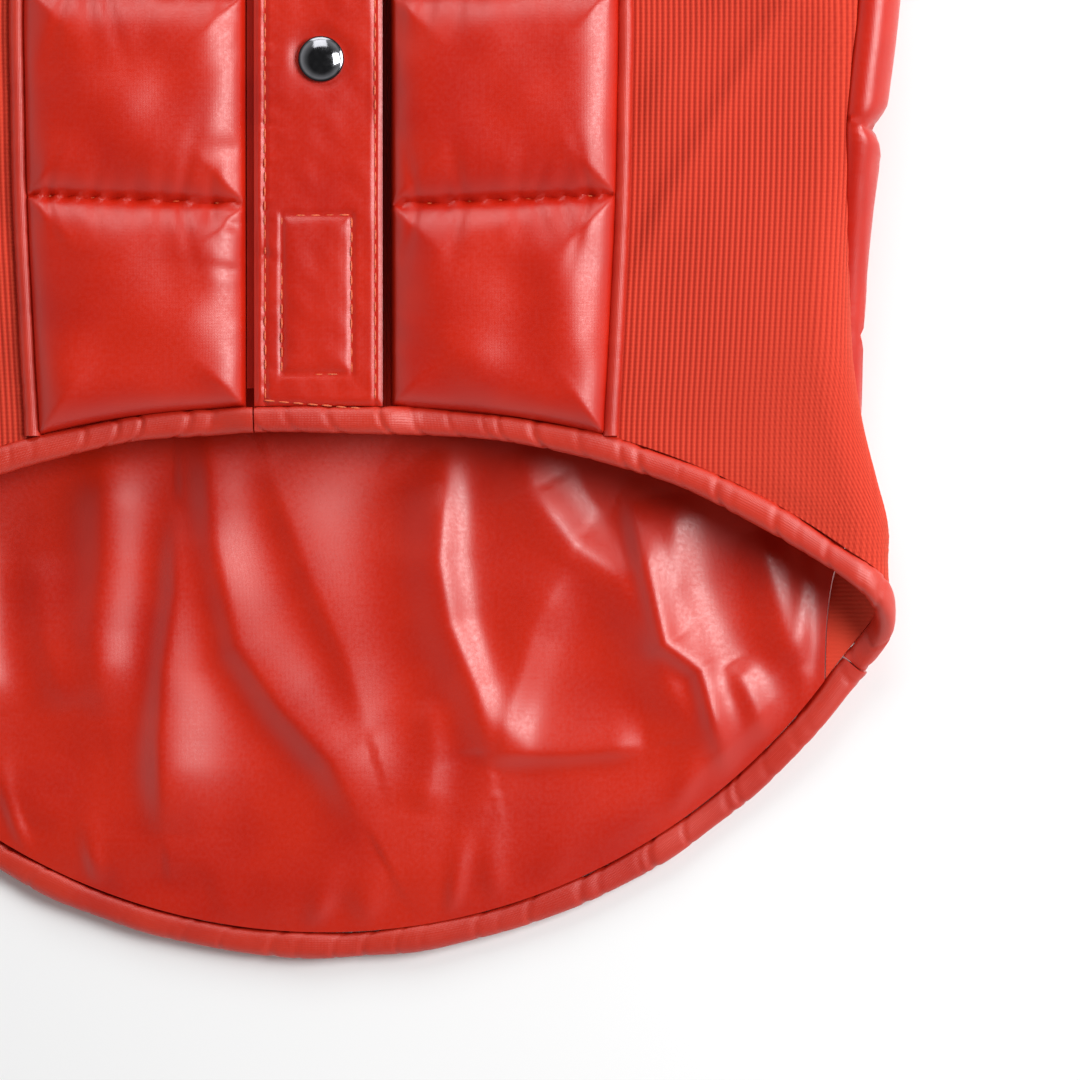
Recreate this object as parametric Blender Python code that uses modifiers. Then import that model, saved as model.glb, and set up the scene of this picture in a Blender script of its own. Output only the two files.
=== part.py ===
"""Dog winter coat, laid flat on its back with the belly side up.

The coat is a flattened tube of cloth. Its wall is described by two measures: the arc, which
runs from the line of the placket over the right side to the middle of the back (and, as a
negative number, over the left side), and y, the distance from the tail end towards the neck.
wall_point turns these two and a height outside the wall into a place, and every piece of the
coat is a strip or a roll of that wall. All sizes are millimetres, and MM makes them metres.
"""
from collections import namedtuple
from math import ceil, cos, pi, sin, sqrt

import bmesh
import bpy

MM = 0.001

# Whole coat
LENGTH = 440.0
GAP = 0.3                    # between pieces that meet
HEM_GAP = 0.45               # between a panel and the faceted roll along its curved edge
BACK_TOP = 8.0               # height of the back's inner face above the floor
SAG = 3.0                    # how far the belly layer sinks along its middle

# Sections across the coat, from the tail to the neck
Station = namedtuple("Station", "y half_width turn seam piping")
STATIONS = (
    # y, half width inside the wall, radius of the side turn,
    # arc from the side line to the rib's outer seam, x of the piping beside the belly panel
    Station(0, 152.5, 9.0, 20.0, 76.0),
    Station(84, 152.5, 9.0, 20.0, 76.0),
    Station(105, 152.6, 9.0, 18.0, 77.0),
    Station(118, 152.7, 9.0, 13.0, 77.6),
    Station(131, 149.6, 9.2, 9.0, 78.0),
    Station(148, 145.4, 9.4, 5.0, 78.5),
    Station(164, 142.8, 9.6, 1.6, 79.4),
    Station(180, 142.0, 9.8, -1.0, 80.2),
    Station(196, 142.0, 10.0, -3.5, 81.0),
    Station(212, 143.2, 10.2, -6.5, 81.6),
    Station(229, 145.5, 10.4, -9.6, 81.9),
    Station(262, 149.5, 10.6, -10.6, 82.3),
    Station(290, 150.5, 10.8, -10.6, 81.0),
    Station(345, 146.0, 10.8, -10.6, 70.0),
    Station(395, 119.0, 10.4, -10.6, 58.0),
    Station(418, 102.0, 10.2, -10.6, 53.0),
    Station(431, 99.0, 10.0, -10.6, 52.0),
    Station(440, 99.0, 10.0, -10.6, 52.0),
)

# Lower edge: an arc round the tail, and a hollow curve across the belly
TAIL_RADIUS = 178.0
BELLY_HEM_Y = 144.3
HEM_DROP = 48.0
HEM_REACH = 152.0
HEM_CURVE = 2.6
TAIL_FALL = 3.6              # how far the tail's edge sinks towards the floor
TAIL_FALL_RUN = 24.0
TAIL_FALL_END = (112.0, 140.0)

# Bindings, rolled round the cut edges
BINDING_WIDTH = 7.2
BINDING_HEIGHT = 5.0
BINDING_OUT = 1.0            # middle of the roll outside the wall's inner face
BINDING_SEAM_SHARE = 0.93    # share of the side turn that the belly hem's binding covers
HEM_STEP = 9.5               # length of a binding's facets along a curved hem
NECK_STEP = 26.0             # and along the neck's flat stretches
TURN_STEP = 5.5              # and round the side turns
ROLL_SIDES = 6

# Quilted panels
CHANNEL = 57.0
BACK_LINE = 56.5
BELLY_LINE = 207.5
PINCH = 3.0                  # thickness at seams and quilting lines
BACK_FULL = 8.0
BELLY_FULL = 9.5
EDGE_RUN = 16.0              # how far a seam flattens the filling
CHANNEL_SHARES = (0.2, 0.8, 1.0)
ROW_MARGIN = 2.5             # a row this near the lower edge ends on it
BACK_COLUMNS = 26
BELLY_COLUMNS = 6
SEAM_CROWDING = 0.5          # spacing of columns at a seam in the side turn, 1 for even

# Plain cloth
RIB_THICKNESS = 2.0
RIB_COLUMNS = 10
LINING_THICKNESS = 1.2

# Folds of the loose lining: a ridge between two ends, its half width and its height
Fold = namedtuple("Fold", "x0 y0 x1 y1 half_width height")
LINING_FOLDS = (
    Fold(-24, 134, -20, 70, 16, 3.2),
    Fold(-64, 112, -60, 66, 14, 3.0),
    Fold(38, 122, 44, 62, 15, 3.6),
    Fold(62, 128, 104, 60, 13, 3.8),
    Fold(-98, 118, -84, 52, 16, 3.0),
    Fold(-48, 60, -50, 24, 12, 2.2),
    Fold(88, 118, 116, 58, 12, 3.2),
    Fold(-30, 330, 20, 230, 18, 2.0),
    Fold(70, 300, 84, 210, 16, 2.0),
    Fold(-82, 300, -70, 190, 16, 2.0),
)

# Placket over the closing, and the strip under it
PLACKET_LEFT = -18.2
PLACKET_RIGHT = 16.6
PLACKET_OUT = 2.6
PLACKET_THICKNESS = 3.4
PLACKET_ROW = 24.0
PLACKET_BEVEL = 0.9
PLACKET_PIPING_X = 17.65
PLACKET_PIPING_RADIUS = 0.7
UNDER_LEFT = -20.3
UNDER_RIGHT = 13.0
UNDER_THICKNESS = 2.0
UNDER_TUCK = 5.0
RIGHT_PANEL_EDGE = 18.7
LEFT_PANEL_EDGE = -20.6
PLACKET_RUN_OUT = 14.0       # length over which the hem steps down beside the placket

# Piping between belly panel and rib
PIPING_RADIUS = 2.1
PIPING_OUT = 2.6
PIPING_STEP = 20.0

# Leg holes in the rib panels
LEG_X = 108.0
LEG_Y = 345.0
LEG_HALF_WIDTH = 23.0
LEG_HALF_LENGTH = 35.0
LEG_BINDING_WIDTH = 5.0
LEG_BINDING_HEIGHT = 4.0
LEG_BINDING_STEPS = 24
LEG_CUT_DEPTH = 24.0

# Snap caps
SNAP_YS = (245.2, 325.2, 405.2)
SNAP_RADIUS = 6.25
SNAP_RIM = 0.7
SNAP_DOME = 2.2
SNAP_ARC_STEPS = 5
SNAP_TURN_STEPS = 20

# Colours, linear RGB, with roughness and metallic
Finish = namedtuple("Finish", "name colour roughness metallic")
SHELL_RED = Finish("shell_nylon", (0.54, 0.022, 0.005), 0.3, 0.0)
LINING_RED = Finish("lining_satin", (0.58, 0.030, 0.008), 0.25, 0.0)
RIB_RED = Finish("rib_knit", (0.62, 0.055, 0.022), 0.9, 0.0)
BINDING_RED = Finish("binding_nylon", (0.56, 0.03, 0.01), 0.35, 0.0)
SNAP_STEEL = Finish("snap_steel", (0.12, 0.12, 0.13), 0.15, 1.0)


# ---------------------------------------------------------------- the wall of the coat

def station_value(column, y):
    """A column of STATIONS at y, on a smooth curve through its rows."""
    rows = [(row.y, getattr(row, column)) for row in STATIONS]
    if y <= rows[0][0]:
        return rows[0][1]
    if y >= rows[-1][0]:
        return rows[-1][1]
    last = len(rows) - 1
    index = max(i for i in range(last) if rows[i][0] <= y)

    def slope(i):
        before = rows[max(i - 1, 0)]
        after = rows[min(i + 1, last)]
        return (after[1] - before[1]) / (after[0] - before[0])

    (y0, v0), (y1, v1) = rows[index], rows[index + 1]
    return hermite((y - y0) / (y1 - y0), v0, v1, slope(index) * (y1 - y0), slope(index + 1) * (y1 - y0))


def hermite(share, start, end, start_slope, end_slope):
    """Cubic curve from start to end with the given slopes, at share of the way."""
    square = share * share
    cube = square * share
    return ((2 * cube - 3 * square + 1) * start + (cube - 2 * square + share) * start_slope
            + (3 * square - 2 * cube) * end + (cube - square) * end_slope)


def ease(value, low, high):
    """Smooth step from 0 at low to 1 at high."""
    share = min(max((value - low) / (high - low), 0.0), 1.0)
    return share * share * (3 - 2 * share)


def flat_reach(y):
    """Half width of the flat part of a section, where the side turn starts."""
    return station_value("half_width", y) - station_value("turn", y)


def half_girth(y):
    """Arc from the placket's line to the middle of the back."""
    return 2 * flat_reach(y) + pi * station_value("turn", y)


def seam_arc(y):
    """Arc of the seam between rib and back."""
    turn = station_value("turn", y)
    return flat_reach(y) + pi * turn / 2 + station_value("seam", y)


def tail_edge(x):
    """y of the tail's outer edge."""
    return TAIL_RADIUS - sqrt(TAIL_RADIUS ** 2 - min(abs(x), TAIL_RADIUS) ** 2)


def belly_edge(x):
    """y of the belly's outer edge."""
    return BELLY_HEM_Y - HEM_DROP * (abs(x) / HEM_REACH) ** HEM_CURVE


def edge_y(arc, y):
    """y of the coat's lower edge at an arc, on the section at y."""
    arc = abs(arc)
    flat = flat_reach(y)
    turn_length = pi * station_value("turn", y)
    if arc <= flat:
        return belly_edge(arc)
    if arc >= flat + turn_length:
        return tail_edge(2 * flat + turn_length - arc)
    belly_slope = belly_edge(flat + 0.5) - belly_edge(flat - 0.5)
    tail_slope = tail_edge(flat - 0.5) - tail_edge(flat + 0.5)
    share = (arc - flat) / turn_length
    return hermite(share, belly_edge(flat), tail_edge(flat),
                   belly_slope * turn_length, tail_slope * turn_length)


def edge_slope(arc, y):
    """Rise of the lower edge for each step of the arc away from the placket."""
    return edge_y(abs(arc) + 0.5, y) - edge_y(abs(arc) - 0.5, y)


def edge_inside(arc, y, inset):
    """y of a line that runs inset from the lower edge, measured square to it."""
    arc = abs(arc)
    foot = arc
    for _ in range(6):
        slope = edge_slope(foot, y)
        foot = arc + slope * inset / sqrt(1 + slope ** 2)
    return edge_y(foot, y) + inset / sqrt(1 + edge_slope(foot, y) ** 2)


def tail_fall(x, y):
    """How far the tail's edge sinks below the level of the back."""
    slope = tail_edge(abs(x) + 0.5) - tail_edge(abs(x) - 0.5)
    from_edge = (y - tail_edge(x)) / sqrt(1 + slope ** 2)
    return TAIL_FALL * (1 - ease(from_edge, 0, TAIL_FALL_RUN)) * (1 - ease(abs(x), *TAIL_FALL_END))


def wall_point(arc, y, out):
    """Place at an arc and y, out millimetres outside the wall's inner face."""
    side = 1 if arc >= 0 else -1
    arc = abs(arc)
    turn = station_value("turn", y)
    flat = flat_reach(y)
    if arc <= flat:
        sag = SAG * 0.5 * (1 + cos(pi * arc / flat))
        x, z = arc, BACK_TOP + 2 * turn - sag + out
    elif arc < flat + pi * turn:
        angle = (arc - flat) / turn
        x, z = flat + (turn + out) * sin(angle), BACK_TOP + turn + (turn + out) * cos(angle)
    else:
        x = 2 * flat + pi * turn - arc
        z = BACK_TOP - tail_fall(x, y) - out
    return (side * x * MM, (y - LENGTH / 2) * MM, z * MM)


# ---------------------------------------------------------------- strips and rolls of the wall

def new_object(name, mesh, finish):
    """An object in the coat's collection with its own material."""
    material = bpy.data.materials.new(name + "_" + finish.name)
    material.use_nodes = True
    shader = material.node_tree.nodes["Principled BSDF"]
    shader.inputs["Base Color"].default_value = (*finish.colour, 1.0)
    shader.inputs["Roughness"].default_value = finish.roughness
    shader.inputs["Metallic"].default_value = finish.metallic
    mesh.materials.append(material)
    coat_object = bpy.data.objects.new(name, mesh)
    coat.objects.link(coat_object)
    return coat_object


def even(share):
    """Columns at even spacing."""
    return share


def crowd_start(share):
    """Columns that stand closer towards the start."""
    return SEAM_CROWDING * share + (1 - SEAM_CROWDING) * share ** 2


def crowd_end(share):
    """Columns that stand closer towards the end."""
    return 1 - crowd_start(1 - share)


def crowd_both(share):
    """Columns that stand closer towards both edges."""
    if share <= 0.5:
        return crowd_start(2 * share) / 2
    return 1 - crowd_start(2 - 2 * share) / 2


def strip(name, arcs, columns, rows, shape, thickness, finish, outward=1, spacing=even):
    """A panel of the wall with Solidify.

    arcs(y) gives the arcs of its two long edges, rows are the y of its rows, and
    shape(arc, y, to_edge) gives the height of its lower face and its share of the thickness.
    A row that runs past the lower edge is cut there.
    """
    grid = bmesh.new()
    layer = grid.verts.layers.deform.verify()
    bmesh.ops.create_grid(grid, x_segments=columns, y_segments=len(rows) - 1, size=1)
    starts = {}
    for vertex in grid.verts:
        share = spacing((vertex.co.x + 1) / 2)
        number = round((vertex.co.y + 1) / 2 * (len(rows) - 1))
        start = starts.get(round(share, 4))
        if start is None:
            start = rows[0]
            for _ in range(8):
                low, high = arcs(start)
                arc = wrap(low + (high - low) * share, start)
                start = edge_inside(arc, start, BINDING_WIDTH + HEM_GAP)
            starts[round(share, 4)] = start
        y = start if number == 0 else max(start, rows[number])
        y = start if y < start + ROW_MARGIN else y
        low, high = arcs(y)
        arc = low + (high - low) * share
        place = wrap(arc, y)
        steepness = sqrt(1 + edge_slope(place, y) ** 2)
        to_edge = min(arc - low, high - arc, (y - start) / steepness, rows[-1] - y)
        out, weight = shape(place, y, to_edge)
        vertex.co = wall_point(place, y, out)
        vertex[layer][0] = weight
    bmesh.ops.remove_doubles(grid, verts=grid.verts, dist=0.00002)
    bmesh.ops.dissolve_degenerate(grid, edges=grid.edges, dist=0.00002)
    low, high = arcs(rows[-1])
    middle = wrap((low + high) / 2, rows[-1])
    up = 1 if abs(middle) < flat_reach(rows[-1]) else -1
    grid.normal_update()
    facing = sum(face.normal.z * face.calc_area() for face in grid.faces)
    if facing * up * outward < 0:
        bmesh.ops.reverse_faces(grid, faces=grid.faces)
    mesh = bpy.data.meshes.new(name)
    grid.to_mesh(mesh)
    grid.free()
    panel = new_object(name, mesh, finish)
    panel.vertex_groups.new(name="filling")
    solidify = panel.modifiers.new("thickness", "SOLIDIFY")
    solidify.thickness = thickness * MM
    solidify.offset = 1
    solidify.vertex_group = "filling"
    return panel


def wrap(arc, y):
    """An arc past the middle of the back as the negative arc of the left side."""
    girth = half_girth(y)
    return arc - 2 * girth if arc > girth else arc


Spot = namedtuple("Spot", "arc y lean_arc lean_y out")


def roll(name, course, width, height, finish, closed=False):
    """A rolled edge or piping: an oval ring of the wall's points at each spot of its course."""
    tube = bmesh.new()
    steps = len(course) if closed else len(course) - 1
    bmesh.ops.create_grid(tube, x_segments=steps, y_segments=ROLL_SIDES, size=1)
    for vertex in tube.verts:
        spot = course[round((vertex.co.x + 1) / 2 * steps) % len(course)]
        angle = round((vertex.co.y + 1) / 2 * ROLL_SIDES) % ROLL_SIDES * 2 * pi / ROLL_SIDES
        across = cos(angle) * width / 2
        arc = wrap(spot.arc + spot.lean_arc * across, spot.y)
        vertex.co = wall_point(arc, spot.y + spot.lean_y * across, spot.out + sin(angle) * height / 2)
    bmesh.ops.remove_doubles(tube, verts=tube.verts, dist=0.00001)
    bmesh.ops.holes_fill(tube, edges=tube.edges, sides=ROLL_SIDES)
    bmesh.ops.recalc_face_normals(tube, faces=tube.faces)
    mesh = bpy.data.meshes.new(name)
    tube.to_mesh(mesh)
    tube.free()
    mesh.shade_smooth()
    return new_object(name, mesh, finish)


def hem_spot(arc, y, width, out):
    """The spot of a binding's middle where its outer edge is at this arc."""
    side = 1 if arc >= 0 else -1
    slope = edge_slope(arc, y)
    reach = width / 2 / sqrt(1 + slope ** 2)
    return Spot(arc - side * slope * reach, edge_y(arc, y) + reach,
                -side * slope / sqrt(1 + slope ** 2), 1 / sqrt(1 + slope ** 2), out)


def spread(start, end, steps):
    """Evenly spaced numbers from start to end."""
    return [start + (end - start) * i / steps for i in range(steps + 1)]


def course_arcs(start, end, y, flat_step):
    """Arcs from start to end at about flat_step, and closer together round the side turns."""
    flat = flat_reach(y)
    turned = flat + pi * station_value("turn", y)
    girth = half_girth(y)
    marks = [mark for mark in (flat, turned, 2 * girth - turned, 2 * girth - flat) if start < mark < end]
    arcs = [start]
    for low, high in zip([start] + marks, marks + [end]):
        middle = min((low + high) / 2, 2 * girth - (low + high) / 2)
        step = TURN_STEP if flat < middle < turned else flat_step
        arcs += spread(low, high, ceil((high - low) / step))[1:]
    return arcs


def quilt_rows(first, line):
    """Rows from first to the neck binding, on and between the quilting lines."""
    last = LENGTH - BINDING_WIDTH - GAP
    edges = [first]
    while line < last - CHANNEL / 3:
        if line > first + CHANNEL / 3:
            edges.append(line)
        line += CHANNEL
    edges.append(last)
    rows = [first]
    for low, high in zip(edges, edges[1:]):
        rows += [low + (high - low) * share for share in CHANNEL_SHARES]
    return rows


def filling(y, to_edge, line, full):
    """Share of the full thickness: low at seams and on quilting lines, full between."""
    from_line = abs((y - line + CHANNEL / 2) % CHANNEL - CHANNEL / 2)
    rise = min(ease(to_edge, -EDGE_RUN / 4, EDGE_RUN), ease(from_line, -CHANNEL * 0.06, CHANNEL * 0.2))
    return (PINCH + (full - PINCH) * rise) / full


# ---------------------------------------------------------------- the pieces

def back_arcs(y):
    """Long edges of the back: from the right seam under the coat to the left seam."""
    seam = seam_arc(y) + GAP / 2
    return seam, 2 * half_girth(y) - seam


def back_shell():
    """The quilted back, which turns up round both sides."""
    def shape(arc, y, to_edge):
        return 0.0, filling(y, to_edge, BACK_LINE, BACK_FULL)
    strip("back_shell", back_arcs, BACK_COLUMNS, quilt_rows(0, BACK_LINE), shape, BACK_FULL, SHELL_RED,
          spacing=crowd_both)


def fold_height(x, y):
    """Height of the lining's folds above the padding."""
    height = 0.0
    for fold in LINING_FOLDS:
        run_x, run_y = fold.x1 - fold.x0, fold.y1 - fold.y0
        length = run_x ** 2 + run_y ** 2
        share = ((x - fold.x0) * run_x + (y - fold.y0) * run_y) / length
        near = min(max(share, 0.0), 1.0)
        away = sqrt((x - fold.x0 - near * run_x) ** 2 + (y - fold.y0 - near * run_y) ** 2)
        height = max(height, fold.height * (1 - ease(away, 0, fold.half_width)))
    return height


def back_lining():
    """The loose satin lining on the back's inner face, with its soft folds."""
    def shape(arc, y, to_edge):
        x = (half_girth(y) - abs(arc)) * (1 if arc >= 0 else -1)
        return -GAP - fold_height(x, y) * ease(to_edge, 0, EDGE_RUN), 1.0
    strip("back_lining", back_arcs, BACK_COLUMNS, quilt_rows(0, BACK_LINE), shape, LINING_THICKNESS,
          LINING_RED, outward=-1, spacing=crowd_both)


def belly_panel(name, inner, side):
    """A quilted panel between the placket and the piping."""
    def arcs(y):
        outer = station_value("piping", y) - PIPING_RADIUS - GAP
        return (inner, outer) if side > 0 else (-outer, inner)

    def shape(arc, y, to_edge):
        return 0.0, filling(y, to_edge, BELLY_LINE, BELLY_FULL)
    rows = quilt_rows(belly_edge(station_value("piping", BELLY_HEM_Y)), BELLY_LINE)
    strip(name, arcs, BELLY_COLUMNS, rows, shape, BELLY_FULL, SHELL_RED)


def rib_side(name, side, cutter):
    """A ribbed side panel, from the piping round the side to the back's seam."""
    def arcs(y):
        inner = station_value("piping", y) + PIPING_RADIUS + GAP
        outer = seam_arc(y) - GAP / 2
        return (inner, outer) if side > 0 else (-outer, -inner)

    def shape(arc, y, to_edge):
        return 0.0, 1.0
    lowest = tail_edge(flat_reach(0))
    rows = [lowest] + [row for row in quilt_rows(0, BACK_LINE) if row > lowest + ROW_MARGIN]
    spacing = crowd_end if side > 0 else crowd_start
    panel = strip(name, arcs, RIB_COLUMNS, rows, shape, RIB_THICKNESS, RIB_RED, spacing=spacing)
    hole = panel.modifiers.new("leg_hole", "BOOLEAN")
    hole.operation = "DIFFERENCE"
    hole.object = cutter
    return panel


def leg_cutter(name, side):
    """An oval block where a leg hole is cut."""
    bpy.ops.mesh.primitive_cylinder_add(vertices=LEG_BINDING_STEPS, radius=1, depth=LEG_CUT_DEPTH * MM)
    cutter = bpy.context.object
    cutter.name = name
    cutter.scale = ((LEG_HALF_WIDTH + GAP) * MM, (LEG_HALF_LENGTH + GAP) * MM, 1)
    x, y, z = wall_point(side * LEG_X, LEG_Y, 0)
    cutter.location = (x, y, z)
    cutter.hide_render = True
    cutter.display_type = "WIRE"
    for collection in cutter.users_collection:
        collection.objects.unlink(cutter)
    cutters.objects.link(cutter)
    return cutter


def leg_binding(name, side):
    """The roll round a leg hole."""
    course = []
    for step in range(LEG_BINDING_STEPS):
        angle = 2 * pi * step / LEG_BINDING_STEPS
        course.append(Spot(side * LEG_X + (LEG_HALF_WIDTH - LEG_BINDING_WIDTH / 2) * cos(angle),
                           LEG_Y + (LEG_HALF_LENGTH - LEG_BINDING_WIDTH / 2) * sin(angle),
                           cos(angle), sin(angle), BINDING_OUT))
    roll(name, course, LEG_BINDING_WIDTH, LEG_BINDING_HEIGHT, BINDING_RED, closed=True)


def placket_top(arc):
    """Height of the binding's middle where the hem crosses from the placket to the panels."""
    over_placket = PLACKET_OUT + PLACKET_THICKNESS / 2
    beside = PINCH / 2
    step = over_placket + (beside - over_placket) * ease(arc, PLACKET_RIGHT, PLACKET_RIGHT + PLACKET_RUN_OUT)
    piping = station_value("piping", BELLY_HEM_Y)
    return step + (BINDING_OUT - beside) * ease(abs(arc), piping - PLACKET_RUN_OUT, piping)


def hem_bindings():
    """The rolls along the belly hem, right and left, and along the tail hem."""
    corner_y = belly_edge(HEM_REACH)
    turn_start = flat_reach(corner_y)
    corner = turn_start + pi * station_value("turn", corner_y) * BINDING_SEAM_SHARE
    right = [hem_spot(arc, corner_y, BINDING_WIDTH, placket_top(arc))
             for arc in course_arcs(PLACKET_LEFT, corner, corner_y, HEM_STEP)]
    roll("belly_hem_binding_right", right, BINDING_WIDTH, BINDING_HEIGHT, BINDING_RED)
    left = [hem_spot(-arc, corner_y, BINDING_WIDTH, placket_top(max(arc, PLACKET_RIGHT + PLACKET_RUN_OUT)))
            for arc in course_arcs(-LEFT_PANEL_EDGE, corner, corner_y, HEM_STEP)]
    roll("belly_hem_binding_left", left, BINDING_WIDTH, BINDING_HEIGHT, BINDING_RED)
    girth = half_girth(corner_y)
    start = corner + GAP
    tail = []
    for arc in course_arcs(start, 2 * girth - start, corner_y, HEM_STEP):
        spot = hem_spot(min(arc, 2 * girth - arc), corner_y, BINDING_WIDTH, BINDING_OUT)
        if arc > girth:
            spot = Spot(2 * girth - spot.arc, spot.y, -spot.lean_arc, spot.lean_y, spot.out)
        tail.append(spot)
    roll("tail_hem_binding", tail, BINDING_WIDTH, BINDING_HEIGHT, BINDING_RED)


def neck_binding():
    """The roll round the neck, open at the placket's free edge."""
    y = LENGTH - BINDING_WIDTH / 2
    end = 2 * half_girth(y) + LEFT_PANEL_EDGE
    course = []
    for arc in course_arcs(PLACKET_LEFT, end, y, NECK_STEP):
        from_placket = arc if arc < half_girth(y) else PLACKET_RIGHT + PLACKET_RUN_OUT
        course.append(Spot(arc, y, 0.0, 1.0, placket_top(min(from_placket, PLACKET_RIGHT + PLACKET_RUN_OUT))))
    roll("neck_binding", course, BINDING_WIDTH, BINDING_HEIGHT, BINDING_RED)


def placket():
    """The strip that covers the closing, and the strip that it closes on."""
    def over(y):
        return PLACKET_LEFT, PLACKET_RIGHT

    def under(y):
        return UNDER_LEFT, UNDER_RIGHT

    def over_shape(arc, y, to_edge):
        return PLACKET_OUT, 1.0

    def under_shape(arc, y, to_edge):
        return 0.0, 1.0
    last = LENGTH - BINDING_WIDTH - GAP
    first = BELLY_HEM_Y + BINDING_WIDTH + GAP
    steps = round((last - first) / PLACKET_ROW)
    top = strip("placket", over, 2, spread(first, last, steps), over_shape, PLACKET_THICKNESS, SHELL_RED)
    rounding = top.modifiers.new("rounding", "BEVEL")
    rounding.width = PLACKET_BEVEL * MM
    rounding.segments = 1
    strip("placket_under", under, 2, spread(first + UNDER_TUCK, last, steps), under_shape,
          UNDER_THICKNESS, SHELL_RED)


def side_piping(name, side):
    """The round piping between a belly panel and the rib."""
    last = LENGTH - BINDING_WIDTH - GAP
    hem = station_value("piping", BELLY_HEM_Y)
    first = edge_inside(hem, BELLY_HEM_Y, BINDING_WIDTH + GAP) + PIPING_RADIUS
    ys = spread(first, last, round((last - first) / PIPING_STEP))
    course = [Spot(side * station_value("piping", y), y, 1.0, 0.0, PIPING_OUT) for y in ys]
    roll(name, course, 2 * PIPING_RADIUS, 2 * PIPING_RADIUS, BINDING_RED)


def placket_piping():
    """The narrow fold beside the placket."""
    last = LENGTH - BINDING_WIDTH - GAP
    first = BELLY_HEM_Y + BINDING_WIDTH + GAP
    ys = spread(first, last, round((last - first) / PIPING_STEP))
    course = [Spot(PLACKET_PIPING_X, y, 1.0, 0.0, PLACKET_OUT + PLACKET_THICKNESS / 2) for y in ys]
    roll("placket_piping", course, 2 * PLACKET_PIPING_RADIUS, PLACKET_THICKNESS, SHELL_RED)


def snap_cap(name, y):
    """A domed cap, turned on its upright axis."""
    profile = bmesh.new()
    outline = []
    for step in range(SNAP_ARC_STEPS + 1):
        angle = pi / 2 * (1 - step / SNAP_ARC_STEPS)
        outline.append((SNAP_RADIUS * cos(angle), SNAP_RIM + SNAP_DOME * sin(angle)))
    outline += [(SNAP_RADIUS, 0.0), (0.0, 0.0)]
    corners = [profile.verts.new((x * MM, 0, z * MM)) for x, z in outline]
    for upper, lower in zip(corners, corners[1:]):
        profile.edges.new((upper, lower))
    mesh = bpy.data.meshes.new(name)
    profile.to_mesh(mesh)
    profile.free()
    cap = new_object(name, mesh, SNAP_STEEL)
    cap.location = wall_point(0, y, PLACKET_OUT + PLACKET_THICKNESS + GAP)
    turn = cap.modifiers.new("turn", "SCREW")
    turn.steps = SNAP_TURN_STEPS
    turn.render_steps = SNAP_TURN_STEPS
    turn.use_merge_vertices = True
    turn.merge_threshold = 0.00001


for leftover in list(bpy.data.objects):
    bpy.data.objects.remove(leftover)
coat = bpy.data.collections.new("dog_winter_coat")
cutters = bpy.data.collections.new("cutters")
bpy.context.scene.collection.children.link(coat)
bpy.context.scene.collection.children.link(cutters)

back_shell()
back_lining()
belly_panel("belly_panel_right", RIGHT_PANEL_EDGE, 1)
belly_panel("belly_panel_left", LEFT_PANEL_EDGE, -1)
for side_name, side_sign in (("right", 1), ("left", -1)):
    side_cutter = leg_cutter("leg_cutter_" + side_name, side_sign)
    rib_side("rib_side_" + side_name, side_sign, side_cutter)
    leg_binding("leg_binding_" + side_name, side_sign)
    side_piping("side_piping_" + side_name, side_sign)
placket()
placket_piping()
hem_bindings()
neck_binding()
for number, snap_y in enumerate(SNAP_YS, 1):
    snap_cap("snap_cap_%d" % number, snap_y)
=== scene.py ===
"""Looks of a dog winter coat that lies flat on its back with the belly side up.

The coat is a flattened tube of cloth. A place on its wall is given by an arc, which runs from
the line of the placket over the right side to the middle of the back (negative over the left
side), by y, the distance from the tail end towards the neck, and by a height outside the
wall's inner face. The sizes are millimetres, and MM makes them metres.
"""
import logging
from dataclasses import dataclass, field
from enum import Enum
from math import pi, radians
from typing import Callable, Optional, Sequence

import bmesh
import bpy
import numpy as np
from mathutils import Matrix, Vector


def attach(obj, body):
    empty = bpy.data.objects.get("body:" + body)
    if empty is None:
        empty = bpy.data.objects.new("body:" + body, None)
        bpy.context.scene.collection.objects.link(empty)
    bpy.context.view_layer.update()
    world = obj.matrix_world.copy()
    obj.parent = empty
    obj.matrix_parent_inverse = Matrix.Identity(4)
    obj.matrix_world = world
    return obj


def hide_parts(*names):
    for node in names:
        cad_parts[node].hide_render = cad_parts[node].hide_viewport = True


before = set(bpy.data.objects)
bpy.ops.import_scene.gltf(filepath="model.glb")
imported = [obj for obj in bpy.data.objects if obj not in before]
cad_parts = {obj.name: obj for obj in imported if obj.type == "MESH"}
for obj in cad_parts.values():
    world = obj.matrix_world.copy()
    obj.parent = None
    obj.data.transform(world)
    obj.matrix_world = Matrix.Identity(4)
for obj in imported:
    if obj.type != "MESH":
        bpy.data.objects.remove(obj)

Array = np.ndarray
MM = 0.001
LOG = logging.getLogger("dog_winter_coat")


# ---------------------------------------------------------------- measures and unevenness

def ease(value: Array, low: float, high: float) -> Array:
    """Smooth step from 0 at low to 1 at high."""
    share = np.clip((value - low) / (high - low), 0.0, 1.0)
    return share * share * (3 - 2 * share)


def hermite(share: Array, start: Array, end: Array, start_slope: Array, end_slope: Array) -> Array:
    """Cubic curve between two values with given slopes.

    Args:
        share: Part of the way, from 0 to 1.
        start: Value at the start.
        end: Value at the end.
        start_slope: Slope at the start, for the whole way.
        end_slope: Slope at the end, for the whole way.

    Returns:
        The curve's value at each share.
    """
    square = share * share
    cube = square * share
    return ((2 * cube - 3 * square + 1) * start + (cube - 2 * square + share) * start_slope
            + (3 * square - 2 * cube) * end + (cube - square) * end_slope)


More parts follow.
